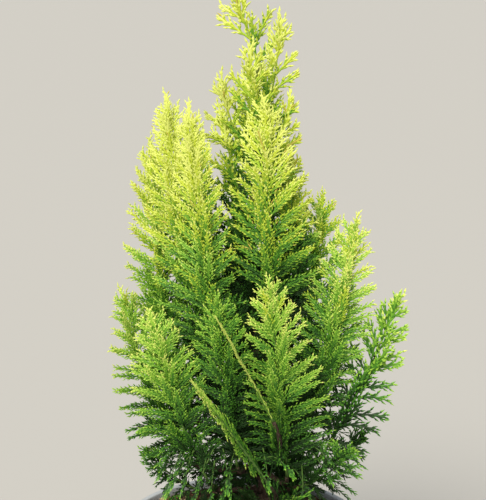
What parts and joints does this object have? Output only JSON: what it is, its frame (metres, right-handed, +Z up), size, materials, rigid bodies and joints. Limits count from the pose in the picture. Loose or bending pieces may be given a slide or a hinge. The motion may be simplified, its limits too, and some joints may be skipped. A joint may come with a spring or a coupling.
{
  "type": "potted conifer",
  "caption": "Young golden conifer with upright flat fans of scale-leaf foliage, in a round tapering plastic nursery pot filled with bark compost.",
  "frame": {"origin": "middle of the pot's flat underside", "axes": "+Z up along the pot's axis, -Y towards the side that the picture shows, +X to that side's right"},
  "size_m": [0.2185, 0.1989, 0.563],
  "materials": {
    "pot_plastic": "injection-moulded grey polypropylene with a satin surface",
    "compost": "loose moist compost with chips of composted bark",
    "bark": "thin young bark, slightly scaly",
    "foliage_gold": "sunlit golden-yellow scale leaves, slightly waxy",
    "foliage_lime": "lime-green scale leaves, slightly waxy",
    "foliage_green": "shaded mid-green scale leaves, slightly waxy"
  },
  "bodies": {
    "root": {"pot": "pot_plastic", "compost": "compost", "trunk": "bark", "bough_crown_front": "bark", "bough_crown_right": "bark", "bough_crown_inner": "bark", "bough_tower_middle": "bark", "bough_tower_inner": "bark", "bough_tower_outer": "bark", "bough_tower_back": "bark", "bough_left_outer": "bark", "bough_left_front": "bark", "bough_left_inner": "bark", "bough_left_low": "bark", "bough_left_droop": "bark", "bough_front_fan": "bark", "bough_front_edge_high": "bark", "bough_front_edge_low": "bark", "bough_front_low": "bark", "bough_front_right_low": "bark", "bough_right_high": "bark", "bough_right_middle": "bark", "bough_right_outer": "bark", "bough_right_low": "bark", "bough_back_right_high": "bark", "bough_back_right_low": "bark", "bough_back_middle": "bark", "bough_back_left_low": "bark", "leader_tip": "foliage_gold", "leader_right": "foliage_gold", "leader_left": "foliage_gold", "leader_front": "foliage_gold", "leader_back": "foliage_lime", "crown_front": "foliage_gold", "crown_right": "foliage_gold", "crown_inner": "foliage_green", "middle_front": "foliage_green", "tower_middle": "foliage_gold", "tower_inner": "foliage_gold", "tower_outer": "foliage_gold", "tower_back": "foliage_lime", "left_outer": "foliage_gold", "left_front": "foliage_gold", "left_inner": "foliage_lime", "left_low": "foliage_green", "left_droop": "foliage_green", "front_fan": "foliage_gold", "front_edge_high": "foliage_gold", "front_edge_low": "foliage_gold", "front_low": "foliage_lime", "front_right_low": "foliage_gold", "right_high": "foliage_green", "right_middle": "foliage_lime", "right_outer": "foliage_lime", "right_low": "foliage_green", "back_right_high": "foliage_lime", "back_right_low": "foliage_lime", "back_middle": "foliage_lime", "back_left_low": "foliage_lime"}
  },
  "joints": []
}
